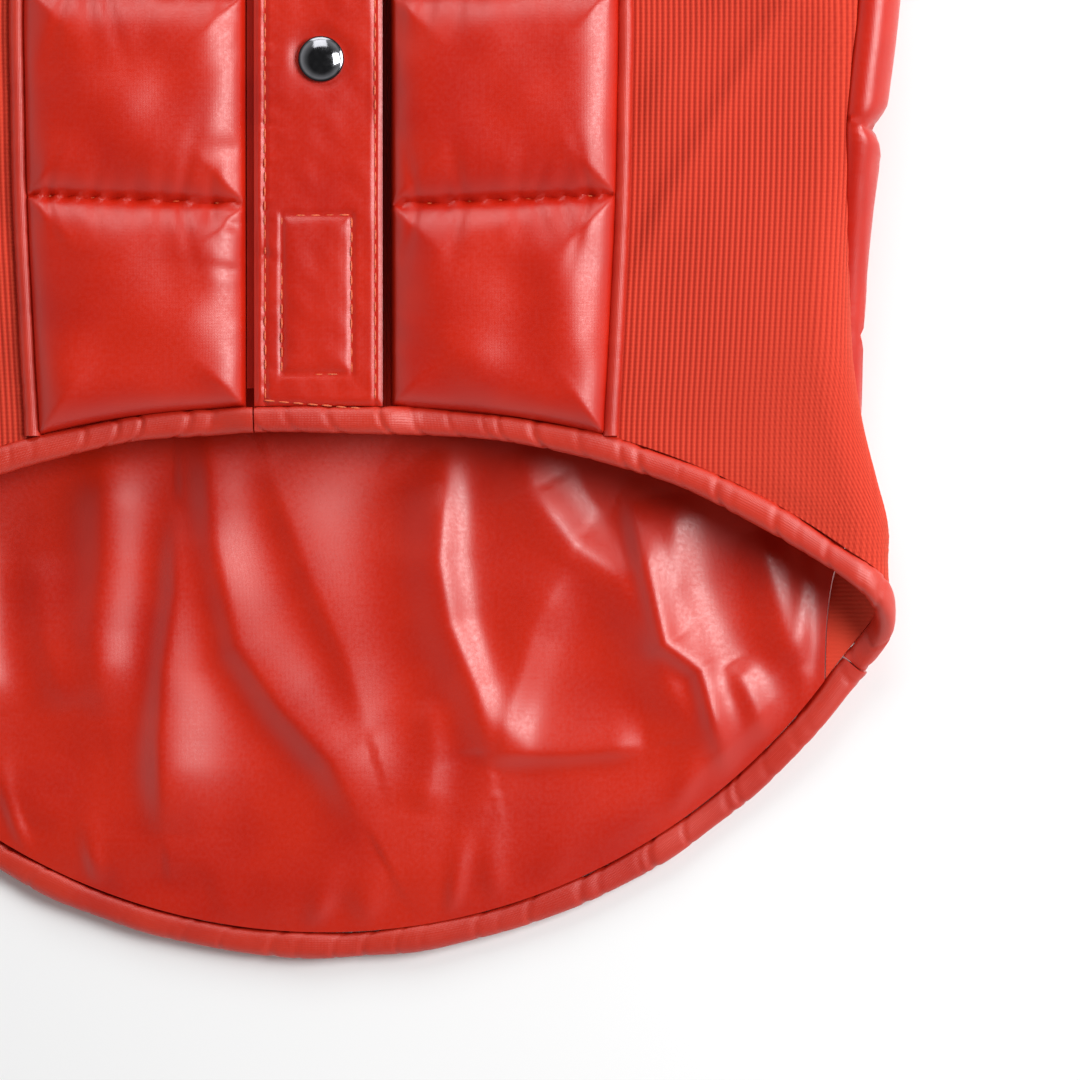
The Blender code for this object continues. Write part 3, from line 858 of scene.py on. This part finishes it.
LINING_FOLDS = (
    # crest from neck to tail as x and y, width left of it, width right of it, height
    Fold(((-32, 150), (-29.5, 115), (-22.9, 86), (-11.7, 70), (2.3, 55), (11, 38)), 13, 5, 5.0),
    Fold(((-15, 136), (-9, 120), (-3, 104), (6, 84), (11.7, 64)), 12, 4, 2.4),
    Fold(((33, 140), (31, 110), (34, 92), (41, 74), (45, 57)), 5, 9, 5.2),
    Fold(((28, 72), (30, 56), (27, 40)), 4, 5, 1.6),
    Fold(((66, 108), (57, 90), (50, 66), (47, 52)), 5, 8, 2.8),
    Fold(((47, 57), (66, 57), (88, 59)), 7, 3, 2.6),
    Fold(((53, 140), (57, 128), (68, 114), (81, 104), (91, 82), (105, 56)), 6, 8, 4.2),
    Fold(((84, 126), (88.7, 106), (93.4, 87), (103, 79.5), (111, 52)), 5, 3, 4.4),
    Fold(((95, 128), (97, 101), (105, 82)), 5, 6, 2.4),
    Fold(((112, 82), (118, 70), (123, 58)), 4, 4, 2.6),
    Fold(((119, 118), (124, 98), (129, 80)), 5, 5, 2.4),
    Fold(((-60, 140), (-60, 110), (-62, 90), (-60, 66)), 8, 6, 3.6),
    Fold(((-40, 124), (-40, 101), (-43, 80), (-44.5, 60), (-44, 34)), 11, 4, 4.6),
    Fold(((-79, 112), (-77, 90), (-70, 68)), 7, 6, 2.2),
    Fold(((-104, 120), (-96, 94), (-92, 66)), 6, 8, 3.4),
    Fold(((-126, 110), (-118, 86), (-112, 68)), 5, 5, 2.4),
    Fold(((40, 230), (52, 290), (38, 350)), 10, 8, 3.0),
    Fold(((-50, 220), (-36, 280), (-48, 340)), 9, 10, 3.0),
)


@dataclass
class SoftCoat:
    """What every part of the coat shares: the wall and the sizes at the seams."""

    wall: CoatWall = field(default_factory=CoatWall)
    top: float = 432.6
    inset: float = 7.3
    pinch: float = 3.0
    channel: float = 57.0
    seam_reach: float = 1.7

    def keep(self, piece: bpy.types.Object, finish: Finish, *nodes: str) -> bpy.types.Object:
        """Dress a piece of this part."""
        return dress(piece, finish, *nodes)


def shares(count: int, crowd: float = 0.35) -> Array:
    """Shares from 0 to 1 that lie closer together at both ends."""
    even = np.linspace(0, 1, count)
    return even - crowd * np.sin(2 * pi * even) / (2 * pi)


def side_name(side: int) -> str:
    """The name of a side."""
    return "right" if side > 0 else "left"


@dataclass
class BellyPanel(SoftCoat):
    """A padded panel beside the placket, quilted across once for each channel."""

    full: float = 10.5
    line: float = 206.0
    line_rise: float = 2.6
    side: int = 1
    edge: float = 18.7

    def quilt_y(self, arc: Array, index: int) -> Array:
        """y of a quilting line."""
        return self.line + self.channel * index + self.line_rise * (np.abs(arc) - 18) / 62

    def height(self, arc: Array, y: Array, to_edge: Array) -> Array:
        """Outer height of the pillow."""
        gap = np.min([np.abs(y - self.quilt_y(arc, index)) for index in range(5)], axis=0)
        reach = np.clip(np.minimum(to_edge, gap) / 17.0, 0, 1)
        pillow = np.sqrt(np.maximum(1 - (1 - reach) ** 2, 0))
        tucks = np.zeros_like(arc)
        for index in range(5):
            seam = self.quilt_y(arc, index)
            seed = 40 + index + 7 * (self.side > 0)
            tucks += Gathers(seed, 18, 84, 5.6, 1.7, 10.0, 0.42).at(np.abs(arc), np.abs(y - seam))
        beside = np.abs(np.abs(arc) - self.edge)
        tucks += Gathers(60 + self.side, 140, 432, 11.0, 2.6, 9.0, 0.35).at(y, beside)
        billow = Ripple(21 + self.side, 34).at(arc, y) * 0.5 + Ripple(31 + self.side, 15).at(arc, y) * 0.14
        return self.pinch + (self.full - self.pinch + billow) * pillow - tucks * np.minimum(1, to_edge / 3)

    def build(self) -> bpy.types.Object:
        """Make the panel."""
        def arcs(y: Array) -> tuple[Array, Array]:
            outer = self.wall.value("piping", y) - self.seam_reach
            inner = np.full_like(y, self.edge)
            return (inner, outer) if self.side > 0 else (-outer, -inner)

        strip = ClothStrip("puffer_" + side_name(self.side), self.wall, arcs, shares(58), shares(270, 0.0),
                           self.top, self.inset, self.height, level(0.0))
        piece = self.keep(strip.build(), Finish.SHELL, "belly_panel_" + side_name(self.side))
        return piece


@dataclass
class RibSide(SoftCoat):
    """The knitted side, from the piping round the turn to the back's seam, with the leg hole."""

    side: int = 1
    pitch: float = 1.5
    rise: float = 0.32
    leg: tuple[float, float] = (108.0, 345.0)
    leg_half: tuple[float, float] = (23.0, 35.0)
    folds: tuple[tuple[float, float, float, float], ...] = (
        # height, y where it starts, slope, width
        (2.4, 200, 1.7, 7),
        (1.8, 236, 1.1, 9),
        (0.9, 288, -0.6, 10),
    )

    def lower(self, y: Array) -> Array:
        """Arc of the rib's inner seam."""
        return self.wall.value("piping", y) + self.seam_reach

    def ribs(self, arc: Array, y: Array, to_edge: Array) -> Array:
        """Height of a rib from 0 to 1."""
        return 0.5 + 0.5 * np.cos(2 * pi * (np.abs(arc) - self.lower(y)) / self.pitch)

    def height(self, arc: Array, y: Array, to_edge: Array) -> Array:
        """Outer height with ribs and soft diagonal folds."""
        across = np.abs(arc)
        folds = sum(high * np.exp(-((y - start - slope * (across - 90)) / width) ** 2)
                    for high, start, slope, width in self.folds)
        soft = 0.5 * Ripple(71 + self.side, 38).at(arc, y)
        return 2.0 + self.rise * (self.ribs(arc, y, to_edge) - 1) + (folds + soft) * ease(to_edge, 0, 10)

    def build(self) -> bpy.types.Object:
        """Make the rib and the binding of its leg hole."""
        def arcs(y: Array) -> tuple[Array, Array]:
            low, high = self.lower(y), self.wall.seam(y) - 0.2
            return (low, high) if self.side > 0 else (-high, -low)

        def hole(arc: Array, y: Array) -> Array:
            return (((np.abs(arc) - self.leg[0]) / self.leg_half[0]) ** 2
                    + ((y - self.leg[1]) / self.leg_half[1]) ** 2) < 1

        name = side_name(self.side)
        strip = ClothStrip("rib_" + name, self.wall, arcs, np.linspace(0, 1, 300), np.linspace(0, 1, 120),
                           self.top, self.inset, self.height, level(0.0),
                           hole, self.ribs)
        rib = self.keep(strip.build(), Finish.RIB, "rib_side_" + name)
        turn = np.linspace(0, 2 * pi, 97)
        course = Course(self.side * (self.leg[0] + self.leg_half[0] * np.cos(turn)),
                        self.leg[1] + self.leg_half[1] * np.sin(turn),
                        self.side * np.cos(turn), np.sin(turn), np.full(97, 1.2))
        tuck = Gathers(80 + self.side, 0, 190, 4.5, 1.3, 30, 0.22)
        roll = ClothRoll("leg_edge_" + name, self.wall, course, 5.4, 4.2, closed=True,
                         relief=tucked(tuck))
        edge = self.keep(roll.build(), Finish.BINDING, "leg_binding_" + name)
        return rib


@dataclass
class Back(SoftCoat):
    """The padded back and the satin lining on its inside."""

    full: float = 8.0
    line: float = 56.5

    def arcs(self, y: Array) -> tuple[Array, Array]:
        """The back's arcs between the two rib seams."""
        seam = self.wall.seam(y) + 0.2
        return seam, 2 * self.wall.girth(y) - seam

    def shell(self, arc: Array, y: Array, to_edge: Array) -> Array:
        """Outer height of the quilted back, flat where it lies on the ground."""
        gap = np.abs((y - self.line + self.channel / 2) % self.channel - self.channel / 2)
        reach = np.clip(np.minimum(to_edge, gap) / 16.0, 0, 1)
        pillow = np.sqrt(np.maximum(1 - (1 - reach) ** 2, 0))
        tucks = Gathers(91, -320, 320, 5.0, 1.5, 9.0, 0.5).at(self.wall.back_x(arc, y), gap)
        thick = self.pinch + (self.full + 1.5 - self.pinch) * pillow - tucks * np.minimum(1, to_edge / 3)
        return np.minimum(thick, self.full - self.wall.tail_fall(np.abs(self.wall.back_x(arc, y)), y))

    def folds(self, arc: Array, y: Array, to_edge: Array) -> Array:
        """Inner height of the lining with its folds."""
        x = self.wall.back_x(arc, y)
        fold = sum(each.at(x, y) for each in LINING_FOLDS)
        fold = fold + 0.9 * Ripple(95, 48).at(x, y)
        fold = fold + Gathers(97, -140, 140, 19, 3.4, 17, 1.1).at(x, np.maximum(to_edge, 0))
        on_back = ease(np.abs(arc) - self.wall.turned(y), -4, 12)
        return -1.4 - np.maximum(fold, -0.8) * ease(to_edge, 0, 9) * on_back

    def build(self) -> bpy.types.Object:
        """Make the shell and the lining."""
        shell = ClothStrip("back_puffer", self.wall, self.arcs, np.linspace(0, 1, 190),
                           np.linspace(0, 1, 190),
                           self.top, self.inset, self.shell, level(0.0))
        padded = self.keep(shell.build(), Finish.SHELL, "back_shell")
        rows = np.concatenate([np.linspace(0, 0.37, 145), np.linspace(0.37, 1, 35)[1:]])
        lining = ClothStrip("back_lining_cloth", self.wall, self.arcs, np.linspace(0, 1, 240), rows,
                            self.top, self.inset, level(-0.2), self.folds)
        piece = self.keep(lining.build(), Finish.LINING, "back_lining")
        return padded


@dataclass
class Placket(SoftCoat):
    """The strip that carries the snaps, the strip under it and its stitching."""

    left: float = -18.2
    right: float = 16.6
    face: float = 6.0
    patch: tuple[float, float, float, float] = (-10.7, 8.2, 160.1, 203.1)
    snaps: tuple[float, ...] = (245.2, 325.2, 405.2)
    snap_radius: float = 6.25

    def height(self, arc: Array, y: Array, to_edge: Array) -> Array:
        """Outer height: rounded edges, grooves at the stitches and dimples at the snaps."""
        grooves = sum(0.45 * np.exp(-((arc - line) / 0.7) ** 2) for line in (-15.2, 14.6))
        west, east, south, north = self.patch
        inside = np.minimum(np.minimum(arc - west, east - arc), np.minimum(y - south, north - y))
        box = 0.5 * np.exp(-(inside / 0.8) ** 2) - 0.4 * ease(inside, 0, 4)
        dimples = sum(0.9 * np.exp(-((np.hypot(arc, y - snap) - self.snap_radius) / 2.6) ** 2)
                      for snap in self.snaps)
        soft = 0.28 * Ripple(101, 26).at(arc, y) + 0.08 * Ripple(102, 8).at(arc, y)
        tucks = Gathers(103, 140, 432, 5.2, 1.1, 3.2, 0.28).at(y, np.abs(arc + 15.2))
        return self.face - 0.9 * (1 - ease(to_edge, 0, 1.6)) - grooves - box - dimples - tucks + soft * ease(
            to_edge, 0, 5)

    def snap(self, name: str, y: float) -> bpy.types.Object:
        """A smooth domed snap cap turned round its own axis."""
        profile = ((0.0, 2.3), (2.2, 2.18), (4.2, 1.72), (5.3, 1.15), (5.7, 0.85), (6.1, 0.8), (6.25, 0.5),
                   (6.25, -0.3), (0.0, -0.3))
        cap = bmesh.new()
        line = [cap.verts.new((radius * MM, 0, rise * MM)) for radius, rise in profile]
        edges = [cap.edges.new(pair) for pair in zip(line, line[1:])]
        bmesh.ops.spin(cap, geom=line + edges, cent=(0, 0, 0), axis=(0, 0, 1), angle=2 * pi, steps=64,
                       use_merge=True)
        bmesh.ops.remove_doubles(cap, verts=cap.verts, dist=0.00001)
        bmesh.ops.recalc_face_normals(cap, faces=cap.faces)
        place = self.wall.point(np.array([0.0]), np.array([y]), np.array([self.face - 0.1]))[0]
        bmesh.ops.translate(cap, verts=cap.verts, vec=Vector(place))
        return object_from(name, cap, 35.0)

    def line(self, start: tuple[float, float], end: tuple[float, float], out: float) -> Course:
        """A straight course between two places."""
        count = 60
        arc = np.linspace(start[0], end[0], count)
        y = np.linspace(start[1], end[1], count)
        return Course(arc, y, np.zeros(count), np.ones(count), np.full(count, out))

    def build(self) -> bpy.types.Object:
        """Make the placket, its under strip, its piping, its thread and the snaps."""
        def flat(low: float, high: float) -> Callable[[Array], tuple[Array, Array]]:
            return lambda y: (np.full_like(y, low), np.full_like(y, high))

        strip = ClothStrip("placket_strip", self.wall, flat(self.left, self.right), np.linspace(0, 1, 72),
                           np.linspace(0, 1, 300), self.top, self.inset, self.height,
                           level(2.6))
        placket = self.keep(strip.build(), Finish.SHELL, "placket")
        under = ClothStrip("placket_under_strip", self.wall, flat(-20.3, 13), np.linspace(0, 1, 14),
                           np.linspace(0, 1, 80), self.top, self.inset + 5,
                           level(2.0), level(0.0))
        below = self.keep(under.build(), Finish.SHELL, "placket_under")
        fold = ClothRoll("placket_fold", self.wall, self.line((17.7, 152.5), (17.7, 432), 5.0), 2.6, 2.6, 12)
        piping = self.keep(fold.build(), Finish.BINDING, "placket_piping")
        thread = Needlework("placket_thread", self.wall)
        west, east, south, north = self.patch
        top = self.face - 0.45
        for start, end in (((-15.2, 153), (-15.2, 431)), ((14.6, 153), (14.6, 431)),
                           ((-16, 153), (15, 150.5)),
                           ((west, south), (east, south)), ((east, south), (east, north)),
                           ((east, north), (west, north)), ((west, north), (west, south))):
            thread.sew(StitchRow(self.line(start, end, top)))
        sewn = self.keep(thread.build(), Finish.THREAD)
        for index, y in enumerate(self.snaps, start=1):
            self.keep(self.snap(f"snap_dome_{index}", y), Finish.STEEL, f"snap_cap_{index}")
        return placket


@dataclass
class Edges(SoftCoat):
    """The bound lower edge, the bound neck and the pipings beside the ribs."""

    width: float = 7.2
    height: float = 5.0
    corner_share: float = 0.93

    def hem(self, arc: Array) -> Course:
        """The course in the middle of the lower edge's binding."""
        y = np.full_like(arc, 96.0)
        for _ in range(12):
            place = self.wall.wrap(arc, y)
            y = self.wall.edge_inside(place, y, self.width / 2)
        slope = self.wall.edge_slope(place, y)
        steep = np.sqrt(1 + slope ** 2)
        return Course(arc, y, -slope * np.sign(place) / steep, 1 / steep, self.over_placket(place))

    def over_placket(self, arc: Array) -> Array:
        """Height of a binding's middle, which climbs over the placket."""
        beside = 1.0 + 0.5 * (1 - ease(np.abs(arc), 60, 90))
        return beside + 2.8 * ease(arc, -30, -18) * (1 - ease(arc, 17, 28))

    def roll(self, name: str, course: Course, seed: int, node: str) -> bpy.types.Object:
        """A gathered binding."""
        tucks = Gathers(seed, 0, 420, 9.5, 1.2, 30, 0.26)
        lumps = Ripple(seed + 5, 30)

        def relief(run: Array, angle: Array) -> tuple[Array, Array]:
            slant = run + 3.2 * np.sin(angle + 0.6)
            return (-tucks.at(slant, np.zeros_like(run)) + 0.25 * lumps.at(run, angle * 5),
                    np.ones_like(run))

        made = ClothRoll(name, self.wall, course, self.width, self.height, 24, relief=relief).build()
        return self.keep(made, Finish.BINDING, node)

    def build(self) -> None:
        """Make every binding and piping."""
        level = float(self.wall.belly_edge(np.array(152.0)))
        turn = float(self.wall.value("turn", level))
        corner = float(self.wall.flat(level)) + pi * turn * self.corner_share
        girth = float(self.wall.girth(level))
        self.roll("hem_edge_right", self.hem(np.linspace(-18.2, corner, 330)), 111,
                  "belly_hem_binding_right")
        self.roll("hem_edge_left", self.hem(np.linspace(-18.6, -corner, 300)), 112, "belly_hem_binding_left")
        self.roll("tail_edge", self.hem(np.linspace(corner + 0.2, 2 * girth - corner - 0.2, 460)), 113,
                  "tail_hem_binding")
        neck = self.wall.length - self.width / 2
        around = 2 * float(self.wall.girth(neck))
        arc = np.linspace(-18.2, around - 20.6, 420)
        spots = np.full_like(arc, neck)
        self.roll("neck_edge", Course(arc, spots, np.zeros_like(arc), np.ones_like(arc),
                                      self.over_placket(self.wall.wrap(arc, spots))), 114, "neck_binding")
        for side in (1, -1):
            rows = np.linspace(self.starts(side), self.top, 200)
            line = side * self.wall.value("piping", rows)
            course = Course(line, rows, np.full(200, float(side)), np.zeros(200), np.full(200, 2.6))
            tucks = Gathers(120 + side, 0, 330, 6, 1.2, 30, 0.12)
            made = ClothRoll("piping_" + side_name(side), self.wall, course, 4.3, 4.3, 16, squareness=1.0,
                             relief=tucked(tucks))
            self.keep(made.build(), Finish.BINDING, "side_piping_" + side_name(side))

    def starts(self, side: int) -> float:
        """y where a side piping leaves the hem's binding."""
        return float(self.wall.edge_inside(np.array(side * 78.0), np.array(140.0), self.inset))


@dataclass
class Quilting(SoftCoat):
    """The thread of the quilting lines on the belly."""

    def build(self) -> bpy.types.Object:
        """Sew the quilting lines of both belly panels."""
        thread = Needlework("quilt_thread", self.wall)
        for panel in (BellyPanel(side=1), BellyPanel(side=-1, edge=20.6)):
            for index in range(4):
                arc = panel.side * np.linspace(panel.edge + 1, 76 if index < 3 else 62, 60)
                thread.sew(StitchRow(Course(arc, panel.quilt_y(arc, index), np.zeros(60), np.ones(60),
                                            np.full(60, self.pinch + 0.25)), thickness=0.55))
        return self.keep(thread.build(), Finish.THREAD)


@dataclass
class Studio:
    """A pale floor, two soft lights and a camera that looks straight down."""

    centre: tuple[float, float] = (0.0592, -0.1048)
    height: float = 1.5
    lens: float = 181.0
    surround: float = 0.8
    lamps: tuple[tuple[str, tuple[float, float, float], float, float], ...] = (
        # name, place, size, watts
        ("side_light", (0.85, 0.15, 0.95), 0.6, 15.0),
        ("top_light", (-0.1, 1.1, 0.9), 0.8, 7.0),
    )
    horizon: tuple[float, float] = (0.35, 1.0)
    zenith: tuple[float, float] = (0.85, 0.06)

    def lamp(self, name: str, place: Sequence[float], size: float, watts: float) -> None:
        """A square soft light aimed at the coat."""
        light = bpy.data.lights.new(name, "AREA")
        light.size = size
        light.energy = watts
        lamp = bpy.data.objects.new(name, light)
        lamp.location = place
        aim = Vector((0.03, -0.05, 0.0)) - Vector(place)
        lamp.rotation_euler = aim.to_track_quat("-Z", "Y").to_euler()
        bpy.context.scene.collection.objects.link(lamp)

    def build(self) -> None:
        """Set up the floor, the lights, the world and the camera."""
        floor = bmesh.new()
        bmesh.ops.create_grid(floor, x_segments=1, y_segments=1, size=4.0)
        bmesh.ops.translate(floor, verts=floor.verts, vec=(0, 0, -0.0003))
        mesh = bpy.data.meshes.new("floor")
        floor.to_mesh(mesh)
        floor.free()
        ground = bpy.data.objects.new("floor", mesh)
        sheet = NodeSheet("floor_white")
        sheet.shader.inputs["Base Color"].default_value = (0.9, 0.9, 0.9, 1)
        sheet.shader.inputs["Roughness"].default_value = 0.9
        mesh.materials.append(sheet.finished)
        bpy.context.scene.collection.objects.link(ground)
        for lamp in self.lamps:
            self.lamp(*lamp)
        world = bpy.data.worlds.new("studio")
        world.use_nodes = True
        tree = world.node_tree
        place = tree.nodes.new("ShaderNodeTexCoord")
        parts = tree.nodes.new("ShaderNodeSeparateXYZ")
        fade = tree.nodes.new("ShaderNodeValToRGB")
        for element, (spot, grey) in zip(fade.color_ramp.elements, (self.horizon, self.zenith)):
            element.position = spot
            element.color = (grey, grey, grey, 1.0)
        tree.links.new(place.outputs["Generated"], parts.inputs["Vector"])
        tree.links.new(parts.outputs["Z"], fade.inputs["Fac"])
        tree.links.new(fade.outputs["Color"], tree.nodes["Background"].inputs["Color"])
        tree.nodes["Background"].inputs["Strength"].default_value = self.surround
        bpy.context.scene.world = world
        bpy.context.scene.view_settings.view_transform = "Standard"
        view = bpy.data.cameras.new("camera")
        view.lens = self.lens
        view.clip_start = 0.01
        camera = bpy.data.objects.new("camera", view)
        camera.location = (*self.centre, self.height)
        bpy.context.scene.collection.objects.link(camera)
        bpy.context.scene.camera = camera


def main() -> None:
    """Build the coat part by part, then the studio."""
    logging.basicConfig(level=logging.INFO, format="%(name)s: %(message)s")
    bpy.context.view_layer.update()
    Back().build()
    BellyPanel(side=1, edge=18.7).build()
    BellyPanel(side=-1, edge=20.6).build()
    RibSide(side=1).build()
    RibSide(side=-1).build()
    Placket().build()
    Edges().build()
    Quilting().build()
    Studio().build()


if __name__ == "__main__":
    main()
